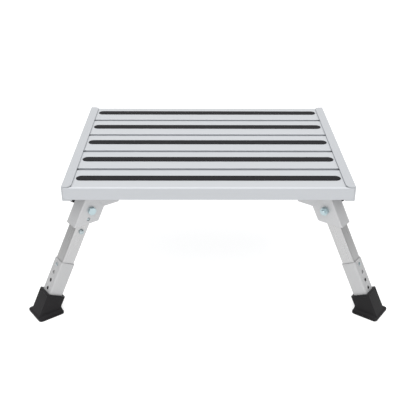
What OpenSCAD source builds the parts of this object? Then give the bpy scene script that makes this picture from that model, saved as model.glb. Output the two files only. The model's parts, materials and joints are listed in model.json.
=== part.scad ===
// Folding platform step: five aluminium planks held in two side rails, standing on
// four splayed legs that telescope on snap buttons and fold inwards under the deck.
// Millimetres, +Z up, origin on the ground under the middle of the platform.

/* [Platform] */
// Length of the platform, side to side
deck_l = 483; // [440:1:560]
// Depth of the platform, front to back
deck_w = 368; // [350:1:420]
// Height of the rails' top above the ground, legs fully extended
step_h = 230.5; // [222:0.5:260]

/* [Side rails] */
// Height of a side rail
rail_h = 26.6; // [25:0.1:32]
// Width of a side rail's flanges
rail_flange_w = 16; // [12:0.5:20]
// Wall of a side rail
rail_wall = 2; // [1.5:0.1:2.6]
// Radius on the top flange's inner corners
rail_corner_r = 8; // [2:0.5:10]
// Radius along the rail's outer edges
rail_edge_r = 1.4; // [0.6:0.1:1.8]
// Clearance between a plank and the rail round its end
plank_end_gap = 0.15; // [0.1:0.05:0.3]

/* [Planks] */
// Width of the front plank, edge to groove
front_plank_w = 71.2; // [66:0.1:82]
// Width of the rear plank, groove to edge
rear_plank_w = 68.5; // [64:0.1:80]
// Wall of the plank extrusion
plank_wall = 1.8; // [1.4:0.1:2.4]
// Width of the groove between two planks
groove_w = 8.2; // [4:0.2:9]
// Depth of the groove between two planks
groove_d = 4.5; // [2.5:0.5:6]
// Radius along the planks' top edges
plank_edge_r = 0.8; // [0.4:0.1:2]
// Radius of the nose on the outer planks
nose_r = 3; // [1.5:0.5:4]
// Clearance between two neighbouring planks
plank_joint_gap = 0.2; // [0.1:0.05:0.3]
// Length of the tongue that locks a plank to the next
tongue_l = 3; // [2:0.5:4]
// Thickness of that tongue
tongue_t = 4; // [3:0.5:5]
// Clearance round the tongue in its pocket
tongue_gap = 0.2; // [0.15:0.05:0.4]
// Height of the stiffening ribs under the plank's top skin
rib_h = 5; // [3:0.5:6]
// Distance of a stiffening rib from the grip strip's centre line
rib_offset = 17; // [12:0.5:20]

/* [Grip strips] */
// Width of a grip strip
strip_w = 17.6; // [12:0.2:22]
// Thickness of a grip strip
strip_t = 1.2; // [0.9:0.1:2]
// Depth of the recess that the strip is laid in
strip_recess_d = 0.7; // [0.4:0.1:1]
// Clearance round the strip in its recess
strip_gap = 0.6; // [0.3:0.1:1]
// Distance from the strip's end to the rail's flange
strip_end_inset = 3.6; // [2:0.2:8]
// Distance that the middle strip lies behind the middle of the platform
strip_shift = 4; // [-3:0.5:5]

/* [Rail screws] */
// Diameter of the screws through the rails into the planks
rail_screw_d = 4; // [3:0.5:4.5]
// Length of those screws under the head
rail_screw_l = 16; // [10:1:25]
// Diameter of their heads
rail_screw_head_d = 8; // [7:0.5:10]
// Diameter of the screw port inside each plank
screw_port_d = 8; // [7:0.5:9]
// Radial clearance of the screws in their holes
screw_gap = 0.15; // [0.1:0.05:0.3]

/* [Leg placing] */
// Distance of a leg's pivot from the platform's side
pivot_inset_x = 35.1; // [32:0.1:45]
// Distance of a leg's pivot from the platform's front or rear edge
pivot_inset_y = 29.6; // [27:0.1:40]
// Depth of the pivot below the rails' top
pivot_drop = 54.2; // [52:0.1:60]
// Angle of the legs to the platform's long side, seen from above
leg_azimuth = 36.25; // [30:0.25:42]
// Splay of the legs from the vertical
splay = 28.3; // [22:0.1:32]

/* [Inner legs] */
// Width of the inner leg's square tube
inner_tube_w = 23.4; // [21:0.1:25]
// Wall of the inner leg
inner_wall = 1.6; // [1.2:0.1:2]
// Outer corner radius of the inner leg
inner_corner_r = 2.2; // [1.7:0.1:3]
// Distance of the leg's centre line outside its pivot
leg_offset = 2.7; // [1:0.1:4]
// Length of inner leg that stays in the tube beyond the second hole
inner_tail = 9.2; // [6:0.2:11]

/* [Lower legs] */
// Wall of the lower leg's square tube
lower_wall = 1.3; // [1:0.1:1.6]
// Sliding clearance between the two tubes, each side
slide_gap = 0.3; // [0.25:0.05:0.45]
// Length of the lower leg
lower_l = 85.6; // [82:0.2:92]
// Number of height holes
hole_count = 4; // [3:1:4]
// Pitch of the height holes
hole_pitch = 15.2; // [14:0.1:16]
// Distance of the first hole from the tube's top
hole_top_inset = 8.4; // [7:0.1:10]

/* [Snap clips] */
// Diameter of the height button
snap_d = 6.2; // [5:0.1:7]
// Radial clearance of a button in its hole
snap_gap = 0.15; // [0.1:0.05:0.3]
// Height that the height button stands proud of the lower leg
snap_proud = 1.5; // [0.8:0.1:2.5]
// Diameter of the release button on the inner leg
release_d = 8.8; // [7:0.2:10]
// Height that the release button stands proud of the inner leg
release_proud = 3.6; // [3.2:0.1:4.5]
// Distance of the lock stud from the pivot, down the leg
lock_reach = 16.2; // [15:0.1:18]
// Distance of the release button from the pivot, down the leg
release_reach = 41.1; // [38:0.2:44]
// Distance of the lock stud from the leg's centre line, inwards
lock_shift = 3.7; // [0:0.1:4]
// Distance of the release button from the leg's centre line, inwards
release_shift = 1.2; // [0:0.1:2]
// Width of the spring strip
clip_w = 12; // [10:0.5:14]
// Thickness of the spring strip
clip_t = 0.8; // [0.5:0.1:1]
// Clearance of the spring strip to the tube's walls
clip_gap = 0.15; // [0.1:0.05:0.3]

/* [Brackets] */
// Wall of the bracket's cheeks and top plate
bracket_wall = 2.8; // [2.2:0.1:3.4]
// Wall of the bracket's outer web, which bears the leg's thrust
web_wall = 4.2; // [2.8:0.1:4.6]
// Clearance between a cheek and the leg
cheek_gap = 0.3; // [0.2:0.05:0.5]
// Clearance between the outer web and the leg resting on it
web_gap = 0.7; // [0.4:0.05:1]
// Depth of the bracket below the pivot
bracket_skirt = 22.9; // [21:0.1:26]
// Reach of the cheek inwards from the pivot, square to the leg
cheek_reach = 20.8; // [18:0.2:24]
// Reach of the bracket's arm inwards from the pivot
arm_reach = 54; // [50:0.5:54.5]
// Height of the arm under the planks
arm_h = 29; // [25:0.5:32]
// Depth that the arm's faces stand back from the cheek's pad
pad_step = 0.8; // [0.4:0.1:1]
// Slope of the pad's edge beside the arm
pad_edge_angle = 54; // [45:1:65]
// Radius between the bracket's web and cheeks
bracket_edge_r = 2.5; // [1.5:0.25:4]
// Radius of the cheek's free lower corner
cheek_corner_r = 3; // [1:0.5:5]
// Angle that a leg folds inwards to its stop on the bracket's end web
fold_angle = 113; // [108:0.5:114]
// Clearance of the folded leg to that stop
fold_gap = 0.3; // [0.1:0.1:0.6]

/* [Pivot bolts] */
// Diameter of the pivot bolt
bolt_d = 8; // [6:0.5:8]
// Width across the flats of the bolt's head and nut
bolt_af = 13; // [11:0.5:14]
// Height of the bolt's head
bolt_head_h = 5.3; // [4:0.1:6]
// Height of the nut's hexagon
nut_h = 5.6; // [4.5:0.1:7]
// Height of the locking collar on the nut
nut_collar_h = 1.6; // [1:0.1:2.5]
// Length of bolt that shows past the nut
bolt_tail = 2.4; // [1:0.2:4]
// Radial clearance of the bolt in the bracket and sleeve
bolt_gap = 0.1; // [0.05:0.05:0.3]
// Wall of the sleeve that keeps the cheeks apart
sleeve_wall = 0.9; // [0.6:0.1:1.2]
// Radial running clearance of the leg on the sleeve
pivot_gap = 0.06; // [0.03:0.01:0.1]

/* [Bracket rivets] */
// Diameter of the rivets that hold a bracket to the planks
rivet_d = 4.8; // [4:0.2:5]
// Diameter of a rivet's head
rivet_head_d = 9.4; // [8:0.2:10]
// Height of a rivet's head
rivet_head_h = 1.6; // [1.2:0.1:2]
// Distance of the outer rivets from the pivot, inwards
rivet_near = 8; // [6:0.5:10]
// Distance of the inner rivets from the pivot, inwards
rivet_far = 44; // [40:0.5:45]
// Half the distance between two rivets across the bracket
rivet_half_pitch = 6; // [5:0.25:6.5]

/* [Feet] */
// Wall of the rubber boot round the tube
boot_wall = 4.1; // [3:0.1:5]
// Depth of the boot's socket
boot_socket = 25; // [20:0.5:28]
// Least thickness of rubber under the tube
sole_t = 6.2; // [4:0.2:9]
// Clearance of the tube in the socket
socket_gap = 0.1; // [0.05:0.05:0.2]
// Width of the sole across the leg
sole_w = 49; // [42:0.5:54]
// Length of the sole along the leg's splay
sole_l = 47; // [42:0.5:52]
// Shift of the sole inwards from the leg's centre line
sole_shift = 3; // [0:0.5:5]
// Height over which the sole flares out
flare_h = 12; // [8:0.5:14]
// Height of the sole's upright edge
sole_edge_h = 2.6; // [1.5:0.2:4]
// Corner radius of the sole
sole_corner_r = 6; // [4:0.5:9]
// Radius of the rolled rim at the boot's top
rim_r = 1.6; // [1:0.1:2]
// Height that the rim stands out from the boot
rim_bulge = 0.6; // [0.3:0.1:1]

/* [Hidden] */
$fn = 48;
corners = ["fl", "fr", "rr", "rl"];
corner_side = [-1, 1, 1, -1];
corner_end = [-1, -1, 1, 1];
leg_parts = ["bracket", "inner_leg", "lower_leg", "foot", "pivot_bolt", "pivot_nut",
             "pivot_sleeve", "lock_clip", "height_clip"];
deck_parts = ["front_plank", "plank_2", "plank_3", "plank_4", "rear_plank",
              "left_rail", "right_rail", "rail_screws_left", "rail_screws_right"];
strip_parts = [for (i = [1 : 5]) str("grip_strip_", i)];
rivet_parts = [for (c = corners) str("bracket_rivets_", c)];

// Colours
aluminium = "gainsboro";
shaded_aluminium = "silver";
zinc = "lightsteelblue";
spring_steel = "lightslategray";
rubber = "dimgray";
grit = "darkslategray";

// Planks
middle_count = 3;
plank_pitch = (deck_w - front_plank_w - rear_plank_w) / middle_count;
plank_starts = [0, for (i = [0 : middle_count]) front_plank_w + i * plank_pitch];
plank_ends = [for (i = [0 : middle_count]) front_plank_w + i * plank_pitch, deck_w];
plank_top = step_h - rail_wall - plank_end_gap;
plank_bottom = step_h - rail_h + rail_wall + plank_end_gap;
plank_h = plank_top - plank_bottom;
plank_l = deck_l - 2 * (rail_wall + plank_end_gap);
strip_l = deck_l - 2 * (rail_flange_w + strip_end_inset);
tongue_v = (plank_h - groove_d - tongue_t) / 2;
port_v = plank_h - plank_wall - rib_h - screw_port_d / 2 + 2;

// Leg frame: X outwards, Y towards the bolt's head, -Z down the leg, origin on the pivot
pivot_z = step_h - pivot_drop;
lower_w = inner_tube_w + 2 * (slide_gap + lower_wall);
lower_corner_r = inner_corner_r + lower_wall;
lower_end = (pivot_z - sole_t - (lower_w / 2 - leg_offset) * sin(splay)) / cos(splay);
lower_top = lower_end - lower_l;
first_hole = lower_top + hole_top_inset;
inner_end = first_hole + hole_pitch + inner_tail;
lock_bend = release_reach + 18;
height_bend = max(first_hole - 22, lock_bend + clip_w);
leg_to_ground = (pivot_z + leg_offset * sin(splay)) / cos(splay);
leg_outer_x = leg_offset + inner_tube_w / 2;
leg_head_r = leg_outer_x - 0.2;
hole_r = snap_d / 2 + snap_gap;

// Bracket
web_inner_x = leg_outer_x + web_gap;
web_outer_x = web_inner_x + web_wall;
cheek_inner_y = inner_tube_w / 2 + cheek_gap;
cheek_outer_y = cheek_inner_y + bracket_wall;
plate_top = pivot_drop - rail_h + rail_wall + plank_end_gap;
plate_bottom = plate_top - bracket_wall;
arm_bottom = plate_top - arm_h;
fold_short = 90 + splay - fold_angle;
fold_stop_z = (inner_tube_w / 2 - leg_offset + fold_gap) / cos(fold_short)
    - (arm_reach - bracket_wall) * tan(fold_short);
reach = 200;

// Pivot
sleeve_bore_r = bolt_d / 2 + bolt_gap;
sleeve_r = sleeve_bore_r + sleeve_wall;
pivot_hole_r = sleeve_r + pivot_gap;

// Rounds the corners of a closed outline, each by its own radius
function unit(v) = v / norm(v);
function corner_arc(before, at, after, r, steps = 8) =
    r == 0 ? [at] :
    let (u = unit(before - at), v = unit(after - at), half = acos(u * v) / 2,
         centre = at + unit(u + v) * r / sin(half), turn = 180 - 2 * half,
         first = at + u * r / tan(half) - centre, last = at + v * r / tan(half) - centre)
    [for (i = [0 : steps])
        centre + (first * sin((1 - i / steps) * turn) + last * sin(i / steps * turn)) / sin(turn)];
function rounded_outline(points, radii) =
    let (n = len(points))
    [for (i = [0 : n - 1])
        each corner_arc(points[(i + n - 1) % n], points[i], points[(i + 1) % n], radii[i])];

// Where a line at x on the leg's frame crosses the height z, seen from the side
function leg_line_x(x, z) = (x - z * sin(splay)) / cos(splay);

module rounded_square(w, d, r) {
    square([w - 2 * r, d], center = true);
    square([w, d - 2 * r], center = true);
    for (sx = [-1, 1], sy = [-1, 1])
        translate([sx * (w / 2 - r), sy * (d / 2 - r)]) circle(r);
}

module slot(l, w) {
    square([l - w, w], center = true);
    for (s = [-1, 1]) translate([s * (l - w) / 2, 0]) circle(w / 2);
}

// Low domed head on the XY plane, as on a pan screw or a rivet
module dome_head(d, h) {
    dome_r = (d * d / 4 + h * h) / (2 * h);
    intersection() {
        translate([0, 0, h - dome_r]) sphere(dome_r, $fn = 64);
        cylinder(d = d, h = h);
    }
}

module at_corner(i) {
    outward = atan2(corner_end[i] * sin(leg_azimuth), corner_side[i] * cos(leg_azimuth));
    translate([corner_side[i] * (deck_l / 2 - pivot_inset_x),
               corner_end[i] * (deck_w / 2 - pivot_inset_y), pivot_z])
        rotate([0, 0, outward]) children();
}

module along_leg() {
    rotate([0, -splay, 0]) children();
}

// Planks

// Outline of a plank's section: u runs front to back, v up from its underside
module plank_outline(w, front_nose, rear_nose) {
    g = groove_w / 2;
    e = plank_joint_gap / 2;
    shoulder = plank_h - groove_d;
    front = front_nose ? [[0, plank_h]] : [[g, plank_h], [g, shoulder], [e, shoulder]];
    rear = rear_nose ? [[w, plank_h]] : [[w - e, shoulder], [w - g, shoulder], [w - g, plank_h]];
    front_r = front_nose ? [nose_r] : [plank_edge_r, 0, 0];
    rear_r = rear_nose ? [nose_r] : [0, 0, plank_edge_r];
    front_u = front_nose ? 0 : e;
    rear_u = rear_nose ? w : w - e;
    polygon(rounded_outline(concat([[front_u, 0], [rear_u, 0]], rear, front),
                            concat([0, 0], rear_r, front_r)));
}

// Plank w wide, with its ribs and screw port under the strip's centre line at u = middle
module plank_section(w, middle, front_nose, rear_nose) {
    pocket_l = tongue_l + tongue_gap;
    pocket_t = tongue_t + 2 * tongue_gap;
    inner_u = groove_w / 2 + plank_wall;
    difference() {
        union() {
            difference() {
                plank_outline(w, front_nose, rear_nose);
                translate([plank_wall, plank_wall])
                    square([w - 2 * plank_wall, plank_h - groove_d - 2 * plank_wall]);
                translate([inner_u, plank_wall])
                    square([w - 2 * inner_u, plank_h - 2 * plank_wall - strip_recess_d]);
            }
            for (s = [-1, 1])
                translate([middle + s * rib_offset - plank_wall / 2,
                           plank_h - plank_wall - strip_recess_d - rib_h])
                    square([plank_wall, rib_h + plank_wall / 2]);
            translate([middle, port_v]) circle(d = screw_port_d);
            translate([middle - plank_wall / 2, port_v])
                square([plank_wall, plank_h - port_v - plank_wall]);
            if (!front_nose)
                translate([plank_joint_gap, tongue_v - tongue_gap - plank_wall])
                    square([pocket_l + plank_wall, pocket_t + 2 * plank_wall]);
            if (!rear_nose)
                translate([w - plank_wall, tongue_v]) square([tongue_l + plank_wall, tongue_t]);
        }
        translate([middle, port_v]) circle(r = rail_screw_d / 2);
        if (!front_nose) translate([-1, tongue_v - tongue_gap]) square([pocket_l + 1, pocket_t]);
    }
}

function strip_y(i) = strip_shift + (i - (len(plank_starts) - 1) / 2) * plank_pitch;

module plank(i) {
    w = plank_ends[i] - plank_starts[i];
    color(aluminium) difference() {
        translate([-plank_l / 2, plank_starts[i] - deck_w / 2, plank_bottom])
            rotate([90, 0, 90])
                linear_extrude(plank_l)
                    plank_section(w, strip_y(i) + deck_w / 2 - plank_starts[i],
                                  i == 0, i == len(plank_starts) - 1);
        translate([0, strip_y(i), plank_top - strip_recess_d])
            linear_extrude(rail_wall) slot(strip_l + 2 * strip_gap, strip_w + 2 * strip_gap);
        rivet_holes();
    }
}

module rivet_holes() {
    for (i = [0 : len(corners) - 1])
        at_corner(i) bracket_rivet_places() cylinder(r = rivet_d / 2 + screw_gap, h = 3 * plank_wall,
                                                     center = true);
}

module bracket_rivet_places() {
    for (x = [-rivet_near, -rivet_far], y = [-rivet_half_pitch, rivet_half_pitch])
        translate([x, y, plate_top]) children();
}

module grip_strip(i) {
    color(grit) translate([0, strip_y(i), plank_top - strip_recess_d])
        linear_extrude(strip_t) slot(strip_l, strip_w);
}

// Side rails

module rail_section() {
    difference() {
        union() {
            translate([rail_edge_r, 0]) square([rail_flange_w - rail_edge_r, rail_h]);
            translate([0, rail_edge_r]) square([rail_flange_w, rail_h - 2 * rail_edge_r]);
            for (z = [rail_edge_r, rail_h - rail_edge_r])
                translate([rail_edge_r, z]) circle(rail_edge_r);
        }
        translate([rail_wall, rail_wall]) square([rail_flange_w, rail_h - 2 * rail_wall]);
    }
}

module left_rail() {
    color(aluminium) translate([-deck_l / 2, 0, step_h - rail_h]) difference() {
        translate([0, deck_w / 2, 0]) rotate([90, 0, 0]) linear_extrude(deck_w) rail_section();
        for (s = [-1, 1]) translate([0, s * deck_w / 2, rail_h - rail_wall]) difference() {
            translate([rail_flange_w - rail_corner_r, s > 0 ? -rail_corner_r : -1, -0.5])
                cube([rail_corner_r + 1, rail_corner_r + 1, rail_wall + 1]);
            translate([rail_flange_w - rail_corner_r, -s * rail_corner_r, -1])
                cylinder(r = rail_corner_r, h = rail_wall + 2);
        }
        for (i = [0 : len(plank_starts) - 1])
            translate([0, strip_y(i), plank_bottom + port_v - step_h + rail_h])
                rotate([0, 90, 0])
                    cylinder(r = rail_screw_d / 2 + screw_gap, h = 3 * rail_wall, center = true);
    }
}

module right_rail() {
    mirror([1, 0, 0]) left_rail();
}

module rail_screws_left() {
    color(zinc) for (i = [0 : len(plank_starts) - 1])
        translate([-deck_l / 2, strip_y(i), plank_bottom + port_v]) rotate([0, -90, 0]) rail_screw();
}

module rail_screw() {
    head_h = rail_screw_head_d / 3.4;
    difference() {
        union() {
            dome_head(rail_screw_head_d, head_h);
            translate([0, 0, -rail_screw_l]) cylinder(d = rail_screw_d - 0.1, h = rail_screw_l + 0.5);
        }
        for (a = [0, 90]) rotate([0, 0, a])
            translate([0, 0, head_h]) cube([rail_screw_d, rail_screw_d / 5, 2 * head_h / 1.8], center = true);
    }
}

module rail_screws_right() {
    mirror([1, 0, 0]) rail_screws_left();
}

// Brackets

// Side view of the bracket: web edge, skirt, cheek, arm
module bracket_side() {
    bottom = -bracket_skirt;
    inner_low = leg_line_x(-cheek_reach, bottom);
    inner_high = leg_line_x(-cheek_reach, arm_bottom);
    polygon(rounded_outline(
        [[leg_line_x(web_outer_x, plate_top), plate_top], [leg_line_x(web_outer_x, bottom), bottom],
         [inner_low, bottom], [inner_high, arm_bottom], [-arm_reach, arm_bottom],
         [-arm_reach, plate_top]],
        [0, 0, cheek_corner_r, 1.5, 2, 0]));
}

module tilted_prism(x_max, y_half, r) {
    along_leg() translate([0, 0, -reach]) linear_extrude(2 * reach) {
        translate([x_max - reach, -y_half]) square([reach - r, 2 * y_half]);
        translate([x_max - reach, -y_half + r]) square([reach, 2 * (y_half - r)]);
        for (s = [-1, 1]) translate([x_max - r, s * (y_half - r)]) circle(r);
    }
}

module bracket() {
    corner_x = leg_line_x(-cheek_reach, arm_bottom);
    pad_x = corner_x + arm_h / tan(pad_edge_angle);
    color(shaded_aluminium) difference() {
        intersection() {
            rotate([90, 0, 0]) linear_extrude(2 * cheek_outer_y, center = true) bracket_side();
            tilted_prism(web_outer_x, cheek_outer_y, bracket_edge_r);
        }
        intersection() {
            tilted_prism(web_inner_x, cheek_inner_y, 0.8);
            union() {
                translate([bracket_wall - arm_reach, -reach / 2, -reach / 2])
                    cube([reach, reach, reach / 2 + plate_bottom]);
                translate([-reach, -reach / 2, -reach / 2])
                    cube([2 * reach, reach, reach / 2 + fold_stop_z]);
            }
        }
        for (s = [-1, 1])
            translate([0, s * (cheek_outer_y - pad_step / 2), 0])
                rotate([90, 0, 0]) linear_extrude(pad_step + 0.01, center = true)
                    polygon([[-arm_reach - 1, arm_bottom - 1],
                             [corner_x - 1 / tan(pad_edge_angle), arm_bottom - 1],
                             [pad_x, plate_top], [pad_x, plate_top + 1],
                             [-arm_reach - 1, plate_top + 1]]);
        rotate([90, 0, 0]) cylinder(r = sleeve_bore_r, h = reach, center = true);
        along_leg() translate([leg_offset - lock_shift, cheek_outer_y, -lock_reach])
            rotate([90, 0, 0]) cylinder(r = hole_r, h = 3 * bracket_wall, center = true);
        bracket_rivet_places() cylinder(r = rivet_d / 2 + screw_gap, h = 3 * bracket_wall, center = true);
    }
}

module bracket_rivets() {
    grip = bracket_wall + plank_wall;
    color(zinc) bracket_rivet_places() {
        translate([0, 0, -bracket_wall]) mirror([0, 0, 1]) dome_head(rivet_head_d, rivet_head_h);
        translate([0, 0, -bracket_wall - 0.2]) cylinder(d = rivet_d, h = grip + 0.4);
        translate([0, 0, plank_wall]) cylinder(d = rivet_d * 1.35, h = 2);
    }
}

// Legs

module square_tube(w, wall, r, top, bottom) {
    translate([leg_offset, 0, -bottom]) linear_extrude(bottom - top) difference() {
        rounded_square(w, w, r);
        rounded_square(w - 2 * wall, w - 2 * wall, r - wall);
    }
}

module inner_leg() {
    color(aluminium) along_leg() difference() {
        intersection() {
            square_tube(inner_tube_w, inner_wall, inner_corner_r, -leg_head_r, inner_end);
            union() {
                translate([-reach / 2, -reach / 2, -reach]) cube(reach);
                rotate([90, 0, 0]) cylinder(r = leg_head_r, h = reach, center = true);
            }
        }
        rotate([90, 0, 0]) cylinder(r = pivot_hole_r, h = reach, center = true);
        translate([leg_offset - lock_shift, inner_tube_w / 2, -lock_reach])
            rotate([90, 0, 0]) cylinder(r = hole_r, h = 3 * inner_wall, center = true);
        translate([leg_offset - release_shift, inner_tube_w / 2, -release_reach])
            rotate([90, 0, 0])
                cylinder(r = release_d / 2 + snap_gap, h = 3 * inner_wall, center = true);
        translate([leg_outer_x, 0, -first_hole])
            rotate([0, 90, 0]) cylinder(r = hole_r, h = 3 * inner_wall, center = true);
    }
}

module lower_leg() {
    color(aluminium) along_leg() difference() {
        square_tube(lower_w, lower_wall, lower_corner_r, lower_top, lower_end);
        for (i = [0 : hole_count - 1])
            translate([leg_offset + lower_w / 2, 0, -first_hole - i * hole_pitch])
                rotate([0, 90, 0]) cylinder(r = hole_r, h = 3 * lower_wall, center = true);
    }
}

// Outline of a strip of thickness t that follows a path
function segment_normal(a, b) = let (d = unit(b - a)) [-d[1], d[0]];
function path_normal(p, i) =
    let (last = len(p) - 1,
         before = segment_normal(p[max(i - 1, 0)], p[max(i, 1)]),
         after = segment_normal(p[min(i, last - 1)], p[min(i + 1, last)]))
    (before + after) / (1 + before * after);
function strip_outline(p, t) =
    concat([for (i = [0 : len(p) - 1]) p[i] + path_normal(p, i) * t / 2],
           [for (i = [len(p) - 1 : -1 : 0]) p[i] - path_normal(p, i) * t / 2]);

// Spring strip bent into a V between two walls at +wall and -wall. The first arm lies on
// the first wall, the second leans back to the other. Distances are down the leg.
module v_spring(wall, start, bend, back_end) {
    arm_x = wall - clip_t / 2;
    bend_r = arm_x / 2;
    turn = start < bend ? -180 : 180;
    steps = 12;
    path = concat([[arm_x, -start]],
                  [for (i = [0 : steps])
                      [arm_x - bend_r + bend_r * cos(i / steps * turn),
                       -bend + bend_r * sin(i / steps * turn)]],
                  [[-arm_x, -back_end]]);
    rotate([90, 0, 0]) linear_extrude(clip_w, center = true) polygon(strip_outline(path, clip_t));
}

// Lock clip: the stud stands in the bracket's cheek and holds the leg open; the release
// button lower down the same strip draws it back
module lock_clip() {
    wall_y = inner_tube_w / 2 - inner_wall - clip_gap;
    color(spring_steel) along_leg() {
        translate([leg_offset - (lock_shift + release_shift) / 2, 0, 0]) rotate([0, 0, 90])
            v_spring(wall_y, sleeve_r + 3, lock_bend, release_reach - 8);
        translate([leg_offset - lock_shift, 0, -lock_reach]) rotate([-90, 0, 0])
            button(snap_d, wall_y - clip_t / 2, cheek_outer_y - 0.1);
        translate([leg_offset - release_shift, 0, -release_reach]) rotate([-90, 0, 0])
            button(release_d, wall_y - clip_t / 2, inner_tube_w / 2 + release_proud);
    }
}

module height_clip() {
    wall_x = inner_tube_w / 2 - inner_wall - clip_gap;
    color(spring_steel) along_leg() translate([leg_offset, 0, 0]) {
        v_spring(wall_x, first_hole + 8, height_bend, first_hole + 2);
        translate([0, 0, -first_hole]) rotate([0, 90, 0])
            button(snap_d, wall_x - clip_t / 2, lower_w / 2 + snap_proud);
    }
}

// Round button along +Z from its base to its domed end
module button(d, base, end) {
    dome_h = d * 0.16;
    translate([0, 0, base]) cylinder(d = d, h = end - dome_h - base);
    translate([0, 0, end - dome_h]) dome_head(d, dome_h);
}

// Pivot bolt, nut and sleeve

module hexagon(af, h) {
    cylinder(d = af / cos(30), h = h, $fn = 6);
}

module pivot_bolt() {
    end_y = cheek_outer_y + nut_h + nut_collar_h + bolt_tail;
    chamfer = 0.8;
    color(zinc) {
        translate([0, cheek_outer_y, 0]) rotate([-90, 0, 0]) intersection() {
            hexagon(bolt_af, bolt_head_h);
            union() {
                cylinder(d = bolt_af / cos(30), h = bolt_head_h - 1.2);
                translate([0, 0, bolt_head_h - 1.2])
                    cylinder(d1 = bolt_af / cos(30), d2 = bolt_af - 1, h = 1.2);
            }
        }
        translate([0, cheek_outer_y + 0.5, 0]) rotate([90, 0, 0])
            cylinder(d = bolt_d, h = cheek_outer_y + 0.5 + end_y - chamfer);
        translate([0, chamfer - end_y, 0]) rotate([90, 0, 0])
            cylinder(d1 = bolt_d, d2 = bolt_d - 2 * chamfer, h = chamfer);
    }
}

module pivot_nut() {
    color(zinc) translate([0, -cheek_outer_y, 0]) rotate([90, 0, 0]) difference() {
        union() {
            hexagon(bolt_af, nut_h);
            cylinder(d = bolt_af - 1, h = nut_h + nut_collar_h);
        }
        translate([0, 0, -1]) cylinder(d = bolt_d + 0.1, h = nut_h + nut_collar_h + 2);
    }
}

module pivot_sleeve() {
    sleeve_l = 2 * cheek_inner_y - 0.1;
    color(spring_steel) rotate([90, 0, 0]) difference() {
        cylinder(r = sleeve_r, h = sleeve_l, center = true);
        cylinder(r = sleeve_bore_r, h = sleeve_l + 2, center = true);
    }
}

// Feet

// Rubber boot: a socket in line with the leg on a flared sole that lies flat on the ground
module foot() {
    boot_w = lower_w + 2 * boot_wall;
    boot_r = lower_corner_r + boot_wall / 2;
    rim_at = lower_end - boot_socket;
    socket_w = lower_w + 2 * socket_gap;
    sole_x = leg_line_x(leg_offset, -pivot_z) - sole_shift;
    color(rubber) difference() {
        union() {
            intersection() {
                along_leg() translate([leg_offset, 0, -rim_at]) boot_body(boot_w, boot_r);
                translate([0, -reach / 2, -pivot_z]) cube(reach);
            }
            translate([sole_x, 0, -pivot_z]) sole(boot_w, boot_r);
        }
        along_leg() translate([leg_offset, 0, -lower_end - socket_gap])
            linear_extrude(boot_socket + reach / 4)
                rounded_square(socket_w, socket_w, lower_corner_r);
    }
}

// Sole with an upright edge and hollow flanks that sweep up to the boot
module sole(boot_w, boot_r) {
    tuck = boot_r * (1 - cos(45)) + 0.1;
    boot_half = boot_w / 2 / cos(splay);
    boot_x = sole_shift - flare_h * tan(splay);
    intersection() {
        linear_extrude(flare_h) rounded_square(sole_l, sole_w, sole_corner_r);
        rotate([90, 0, 0]) linear_extrude(sole_w + 2, center = true)
            polygon(concat(sole_flank(sole_l / 2, boot_x + boot_half - tuck),
                           mirrored(sole_flank(sole_l / 2, boot_half - boot_x - tuck))));
        rotate([90, 0, 90]) linear_extrude(sole_l + 2, center = true)
            polygon(concat(sole_flank(sole_w / 2, boot_w / 2 - tuck),
                           mirrored(sole_flank(sole_w / 2, boot_w / 2 - tuck))));
    }
}

// Side of the sole from the ground up: an upright edge, then a hollow sweep in to the boot
function sole_flank(edge, top, steps = 8) =
    concat([[edge, 0]],
           [for (i = [0 : steps])
               [top + (edge - top) * (1 - sin(90 * i / steps)),
                sole_edge_h + (flare_h - sole_edge_h) * (1 - cos(90 * i / steps))]]);
function mirrored(points) = [for (i = [len(points) - 1 : -1 : 0]) [-points[i][0], points[i][1]]];

// Square body of the boot with a rolled rim at its top, on the XY plane
module boot_body(w, r) {
    intersection() {
        translate([0, 0, -reach]) linear_extrude(reach)
            rounded_square(w + 2 * rim_bulge, w + 2 * rim_bulge, r + rim_bulge);
        for_both_ways() polygon(boot_profile(w / 2));
    }
}

module for_both_ways() {
    intersection() {
        rotate([90, 0, 0]) linear_extrude(reach, center = true) children();
        rotate([90, 0, 90]) linear_extrude(reach, center = true) children();
    }
}

function boot_profile(half) =
    rounded_outline([[-half, -reach], [half, -reach], [half, -2 * rim_r - rim_bulge],
                     [half + rim_bulge, -2 * rim_r], [half + rim_bulge, 0],
                     [-half - rim_bulge, 0], [-half - rim_bulge, -2 * rim_r],
                     [-half, -2 * rim_r - rim_bulge]],
                    [0, 0, 0, 0, rim_r, rim_r, 0, 0]);

plank(0);  // front_plank
plank(1);  // plank_2
plank(2);  // plank_3
plank(3);  // plank_4
plank(4);  // rear_plank
left_rail();
right_rail();
rail_screws_left();
rail_screws_right();
for (i = [0 : len(strip_parts) - 1])
    grip_strip(i);
for (i = [0 : len(corners) - 1]) {
    at_corner(i) bracket_rivets();
    at_corner(i) bracket();
    at_corner(i) inner_leg();
    at_corner(i) lower_leg();
    at_corner(i) foot();
    at_corner(i) pivot_bolt();
    at_corner(i) pivot_nut();
    at_corner(i) pivot_sleeve();
    at_corner(i) lock_clip();
    at_corner(i) height_clip();
}
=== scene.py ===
"""Folding caravan step in satin aluminium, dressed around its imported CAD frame. Metres, +Z up."""
import json
import math

import bmesh
import bpy
from mathutils import Matrix, Vector

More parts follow.
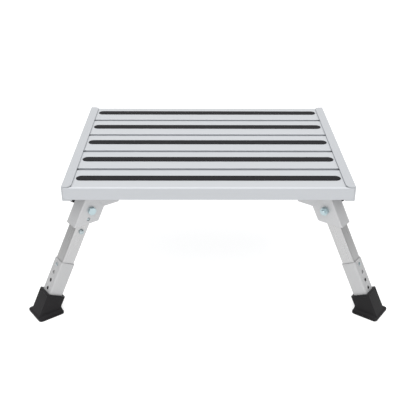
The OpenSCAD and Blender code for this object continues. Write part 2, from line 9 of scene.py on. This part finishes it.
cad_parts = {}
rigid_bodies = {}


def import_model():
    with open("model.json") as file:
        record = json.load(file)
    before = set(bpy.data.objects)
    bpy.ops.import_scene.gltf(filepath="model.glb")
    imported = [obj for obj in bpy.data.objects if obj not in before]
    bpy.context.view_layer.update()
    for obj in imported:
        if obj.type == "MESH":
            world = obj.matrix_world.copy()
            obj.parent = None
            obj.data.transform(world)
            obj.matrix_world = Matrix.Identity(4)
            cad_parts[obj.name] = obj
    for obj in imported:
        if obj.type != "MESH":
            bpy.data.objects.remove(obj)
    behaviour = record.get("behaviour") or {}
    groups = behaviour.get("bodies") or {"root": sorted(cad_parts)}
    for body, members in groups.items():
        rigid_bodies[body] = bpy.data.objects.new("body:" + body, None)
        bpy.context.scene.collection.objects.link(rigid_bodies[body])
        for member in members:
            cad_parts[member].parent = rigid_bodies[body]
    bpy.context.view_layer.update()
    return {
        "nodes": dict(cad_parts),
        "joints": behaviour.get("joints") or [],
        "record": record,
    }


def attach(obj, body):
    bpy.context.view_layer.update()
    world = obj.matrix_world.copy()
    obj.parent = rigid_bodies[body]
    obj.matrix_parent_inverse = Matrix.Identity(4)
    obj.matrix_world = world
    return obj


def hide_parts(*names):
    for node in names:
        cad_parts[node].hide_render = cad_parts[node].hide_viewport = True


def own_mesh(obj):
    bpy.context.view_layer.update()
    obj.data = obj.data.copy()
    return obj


MM = 0.001

# Joining and rounding of the frame's meshes
JOIN_WITHIN = 0.002 * MM
FLAT_WITHIN = math.radians(0.4)
SHARP_OVER = math.radians(34)
EDGE_WIDTHS = {
    "plank_aluminium": 0.3 * MM,
    "rail_aluminium": 0.35 * MM,
    "tube_aluminium": 0.25 * MM,
    "bracket_aluminium": 0.5 * MM,
    "zinc_steel": 0.25 * MM,
    "foot_rubber": 0.7 * MM,
    "grip_strip": 0.25 * MM,
}

# How fine the noise of each kind of surface is, and how much longer than wide a die line is
DIE_LINES = 260
PLATING = 500
MOULD_GRAIN = 700
BLASTING = 900
GRIT = 1400
LINE_STRETCH = 25

# The camera's pose, as a place and the directions of the picture's right, down and depth
CAMERA_AT = (-0.012985, -1.212045, 0.750)
CAMERA_RIGHT = (0.99994894, -0.00879672, 0.004974)
CAMERA_DOWN = (0.000166, -0.47781044, -0.87846295)
CAMERA_FORWARD = (0.01010422, 0.87841892, -0.47778458)
CAMERA_REACH = (0.05, 50)
CAMERA_LENS_MM = 61.05
SENSOR_MM = 36.0

# The room's light at eye level and overhead, the share of it at the far left and right, and the
# places between them, from 0 to 1, that get all of it
ROOM_LEVEL = 1.0
ROOM_TOP = 1.95
ROOM_LEFT = 0.26
ROOM_RIGHT = 0.16
ROOM_MIDDLE = (0.36, 0.64)

SOFTBOX_AT = (0, -1.5, 2.3)
SOFTBOX_AIM = (0, 0, 0.15)
SOFTBOX_SIZE = (1.8, 1.2)
SOFTBOX_WATTS = 9

# The floor lies just under the soles, and its glow keeps it white in the step's shade
FLOOR_SIZE = 16
FLOOR_DROP = 0.4 * MM
FLOOR_GREY = 0.5
FLOOR_GLOW = 0.63


# Materials

def principled(m):
    return m.node_tree.nodes["Principled BSDF"]


def new_material(name, colour, metallic, roughness):
    """A Principled material with its plain values set on the shader's own sockets."""
    m = bpy.data.materials.new(name)
    m.use_nodes = True
    shader = principled(m)
    shader.inputs["Base Color"].default_value = (*colour, 1)
    shader.inputs["Metallic"].default_value = metallic
    shader.inputs["Roughness"].default_value = roughness
    return m


def noise(m, scale, stretch=(1, 1, 1), detail=3, turned=None):
    """A noise texture in the object's own space, drawn out along each axis by stretch. turned is a
    matrix whose columns are the directions of those axes."""
    nodes, links = m.node_tree.nodes, m.node_tree.links
    coords = nodes.new("ShaderNodeTexCoord")
    mapping = nodes.new("ShaderNodeMapping")
    mapping.vector_type = "TEXTURE"
    mapping.inputs["Scale"].default_value = stretch
    if turned:
        mapping.inputs["Rotation"].default_value = turned.to_euler()
    texture = nodes.new("ShaderNodeTexNoise")
    texture.inputs["Scale"].default_value = scale
    texture.inputs["Detail"].default_value = detail
    links.new(coords.outputs["Object"], mapping.inputs["Vector"])
    links.new(mapping.outputs["Vector"], texture.inputs["Vector"])
    return texture


def vary_colour(m, texture, dark, light):
    """Base colour runs between two shades of it by the texture, mostly in its middle third."""
    nodes, links = m.node_tree.nodes, m.node_tree.links
    base = principled(m).inputs["Base Color"].default_value[:3]
    ramp = nodes.new("ShaderNodeValToRGB")
    for stop, place, shade in zip(ramp.color_ramp.elements, (0.35, 0.65), (dark, light)):
        stop.position = place
        stop.color = (*[min(c * shade, 1) for c in base], 1)
    links.new(texture.outputs["Fac"], ramp.inputs["Fac"])
    links.new(ramp.outputs["Color"], principled(m).inputs["Base Color"])


def vary_roughness(m, texture, low, high):
    nodes, links = m.node_tree.nodes, m.node_tree.links
    span = nodes.new("ShaderNodeMapRange")
    span.inputs["To Min"].default_value = low
    span.inputs["To Max"].default_value = high
    links.new(texture.outputs["Fac"], span.inputs["Value"])
    links.new(span.outputs["Result"], principled(m).inputs["Roughness"])


def bump(m, texture, strength, depth):
    nodes, links = m.node_tree.nodes, m.node_tree.links
    node = nodes.new("ShaderNodeBump")
    node.inputs["Strength"].default_value = strength
    node.inputs["Distance"].default_value = depth
    links.new(texture.outputs["Fac"], node.inputs["Height"])
    links.new(node.outputs["Normal"], principled(m).inputs["Normal"])


def extruded_aluminium(name, colour, metallic, roughness, stretch, turned=None):
    """Satin anodised metal with faint die lines along the profile."""
    m = new_material(name, colour, metallic, roughness)
    lines = noise(m, DIE_LINES, stretch, turned=turned)
    vary_roughness(m, lines, roughness - 0.05, roughness + 0.06)
    bump(m, lines, 0.06, 0.2 * MM)
    return m


def blasted_aluminium(name, colour):
    m = new_material(name, colour, metallic=0.5, roughness=0.5)
    grain = noise(m, BLASTING)
    vary_colour(m, grain, 0.96, 1.03)
    bump(m, grain, 0.12, 0.2 * MM)
    return m


def plated_steel(name, colour, roughness):
    m = new_material(name, colour, 0.85, roughness)
    vary_roughness(m, noise(m, PLATING), roughness - 0.05, roughness + 0.08)
    return m


def moulded_rubber(name, colour):
    """Dull black rubber, with a weak reflection so that the pale floor hardly shows in it."""
    m = new_material(name, colour, metallic=0, roughness=0.38)
    principled(m).inputs["IOR"].default_value = 1.3
    principled(m).inputs["Specular IOR Level"].default_value = 0.15
    grain = noise(m, MOULD_GRAIN)
    vary_roughness(m, grain, 0.32, 0.44)
    bump(m, grain, 0.08, 0.3 * MM)
    return m


def grit_tape(name, colour):
    m = new_material(name, colour, metallic=0, roughness=0.85)
    principled(m).inputs["Specular IOR Level"].default_value = 0.2
    grains = noise(m, GRIT, detail=5)
    vary_colour(m, grains, 0.75, 1.5)
    bump(m, grains, 0.7, 0.6 * MM)
    return m


def joint(name):
    return next(j for j in frame["joints"] if j["name"] == name)


def leg_axes(corner):
    """Columns: square to the leg and outwards, along its pivot, up the leg."""
    pivot, up = (Vector(joint(kind + corner)["axis"]) for kind in ("fold_", "height_slide_"))
    return Matrix((pivot.cross(up), pivot, up)).transposed()


def material_makers():
    """For each of the record's slots, what makes its material from the name of a node."""
    along_x, along_y, along_z = (
        [LINE_STRETCH if i == axis else 1 for i in range(3)] for axis in range(3))
    deck = (0.452, 0.466, 0.486)
    rails = [0.93 * c for c in deck]
    tubes = {"inner_leg": ((0.48, 0.48, 0.483), 0.85, 0.28),
             "lower_leg": ((0.465, 0.467, 0.472), 0.5, 0.5)}
    return {
        "plank_aluminium": lambda node: extruded_aluminium("planks", deck, 0.75, 0.36, along_x),
        "rail_aluminium": lambda node: extruded_aluminium("rails", rails, 0.75, 0.36, along_y),
        "tube_aluminium": lambda node: extruded_aluminium(
            node, *tubes[node[:-3]], along_z, leg_axes(node[-2:])),
        "bracket_aluminium": lambda node: blasted_aluminium("brackets", (0.5, 0.502, 0.51)),
        "rivet_aluminium": lambda node: blasted_aluminium("rivets", (0.52, 0.52, 0.53)),
        "zinc_steel": lambda node: plated_steel("zinc", (0.44, 0.54, 0.57), 0.3),
        "spring_steel": lambda node: plated_steel("springs", (0.40, 0.46, 0.48), 0.22),
        "grip_strip": lambda node: grit_tape("grit", (0.0095, 0.009, 0.0105)),
        "foot_rubber": lambda node: moulded_rubber("rubber", (0.018, 0.0175, 0.0185)),
    }


# Pieces

def clean_copy(mesh, name):
    """The mesh with its corners joined and its flat faces whole, so that edges can be rounded."""
    copy = mesh.copy()
    copy.name = name
    form = bmesh.new()
    form.from_mesh(copy)
    bmesh.ops.remove_doubles(form, verts=form.verts, dist=JOIN_WITHIN)
    bmesh.ops.dissolve_limit(form, angle_limit=FLAT_WITHIN, verts=form.verts, edges=form.edges)
    for face in form.faces:
        face.smooth = True
    for edge in form.edges:
        edge.smooth = len(edge.link_faces) == 2 and edge.calc_face_angle(0) < SHARP_OVER
    form.to_mesh(copy)
    form.free()
    return copy


def in_place_of(node, ending, body):
    """A clean copy of the node that rides on the body and is shown instead of the node."""
    name = node + ending
    piece = bpy.data.objects.new(name, clean_copy(frame["nodes"][node].data, name))
    bpy.context.scene.collection.objects.link(piece)
    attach(piece, body)
    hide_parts(node)
    return piece


def softened(node, body, width):
    """The node with its sharp edges slightly rounded."""
    piece = in_place_of(node, "_soft", body)
    rounding = piece.modifiers.new("edges", "BEVEL")
    rounding.width = width
    rounding.segments = 2
    rounding.limit_method = "ANGLE"
    rounding.angle_limit = SHARP_OVER
    rounding.use_clamp_overlap = True
    shading = piece.modifiers.new("shading", "WEIGHTED_NORMAL")
    shading.keep_sharp = False


def dress():
    """Every node gets the material of its slot, and the ones with edges that show are softened."""
    makers = material_makers()
    made = {}
    bodies = frame["record"]["behaviour"]["bodies"]
    body_of = {node: body for body, members in bodies.items() for node in members}
    for part in frame["record"]["subparts"]:
        name, slot = part["node"], part["material_slot"]
        node = frame["nodes"][name]
        key = name if slot == "tube_aluminium" else slot
        if key not in made:
            made[key] = makers[slot](name)
        node.data.materials.clear()
        node.data.materials.append(made[key])
        if slot in EDGE_WIDTHS:
            softened(name, body_of[name], EDGE_WIDTHS[slot])


def spring_clip(kind, corner, still):
    """A clean copy of the clip with a mesh of its own, riding on the body of its kind and corner.
    still is min for the back of the clip or max for its button: the side that stays where the clip's
    body has it."""
    clip = in_place_of(kind + "_clip_" + corner, "_spring", kind + "_" + corner)
    outwards = -Vector(joint(kind + "_press_" + corner)["axis"])
    sides = [outwards.dot(v.co) for v in clip.data.vertices]
    outwards * still(sides)
    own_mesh(clip)


def spring_clips(corner):
    """The corner's lock clip, whose stud sits in the bracket's cheek, and its height clip, whose
    back lies against the tube, each as a piece riding on its own body."""
    spring_clip("lock", corner, min)
    spring_clip("height", corner, max)


# Studio

def look_from(place, right, down, forward, lens):
    camera = bpy.data.objects.new("camera", bpy.data.cameras.new("camera"))
    bpy.context.scene.collection.objects.link(camera)
    axes = Matrix((right, [-v for v in down], [-v for v in forward])).transposed()
    camera.matrix_world = Matrix.Translation(place) @ axes.to_4x4()
    camera.data.sensor_width = SENSOR_MM
    camera.data.lens = lens
    camera.data.clip_start, camera.data.clip_end = CAMERA_REACH
    bpy.context.scene.camera = camera


def softbox():
    data = bpy.data.lights.new("softbox", "AREA")
    data.shape = "RECTANGLE"
    data.size, data.size_y = SOFTBOX_SIZE
    data.energy = SOFTBOX_WATTS
    light = bpy.data.objects.new("softbox", data)
    bpy.context.scene.collection.objects.link(light)
    light.location = SOFTBOX_AT
    aim = Vector(SOFTBOX_AIM) - Vector(SOFTBOX_AT)
    light.rotation_euler = aim.to_track_quat("-Z", "Y").to_euler()


def surround():
    """White room, brighter overhead and darker to the left and right, where it shapes the legs."""
    world = bpy.data.worlds.new("room")
    bpy.context.scene.world = world
    world.use_nodes = True
    nodes, links = world.node_tree.nodes, world.node_tree.links
    coords = nodes.new("ShaderNodeTexCoord")
    parts = nodes.new("ShaderNodeSeparateXYZ")
    across = nodes.new("ShaderNodeMapRange")
    across.inputs["From Min"].default_value = -1
    ramp = nodes.new("ShaderNodeValToRGB")
    ramp.color_ramp.interpolation = "EASE"
    stops = ramp.color_ramp.elements
    for stop, share in zip(stops, (ROOM_LEFT, ROOM_RIGHT)):
        stop.color = (share, share, share, 1)
    for place in ROOM_MIDDLE:
        stops.new(place).color = (1, 1, 1, 1)
    links.new(coords.outputs["Generated"], parts.inputs["Vector"])
    links.new(parts.outputs["X"], across.inputs["Value"])
    links.new(across.outputs["Result"], ramp.inputs["Fac"])
    upwards = nodes.new("ShaderNodeMapRange")
    upwards.inputs["To Min"].default_value = ROOM_LEVEL
    upwards.inputs["To Max"].default_value = ROOM_TOP
    links.new(parts.outputs["Z"], upwards.inputs["Value"])
    links.new(ramp.outputs["Color"], nodes["Background"].inputs["Color"])
    links.new(upwards.outputs["Result"], nodes["Background"].inputs["Strength"])


def pale_floor():
    bpy.ops.mesh.primitive_plane_add(size=FLOOR_SIZE, location=(0, 0, -FLOOR_DROP))
    floor = bpy.context.object
    floor.name = "floor"
    white = new_material("floor", [FLOOR_GREY] * 3, metallic=0, roughness=0.9)
    principled(white).inputs["Emission Color"].default_value = (1, 1, 1, 1)
    principled(white).inputs["Emission Strength"].default_value = FLOOR_GLOW
    floor.data.materials.append(white)


for leftover in list(bpy.data.objects):
    bpy.data.objects.remove(leftover)
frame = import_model()
dress()
for corner in ("fl", "fr", "rr", "rl"):
    spring_clips(corner)
look_from(CAMERA_AT, CAMERA_RIGHT, CAMERA_DOWN, CAMERA_FORWARD, CAMERA_LENS_MM)
surround()
softbox()
pale_floor()
bpy.context.scene.view_settings.view_transform = "Standard"
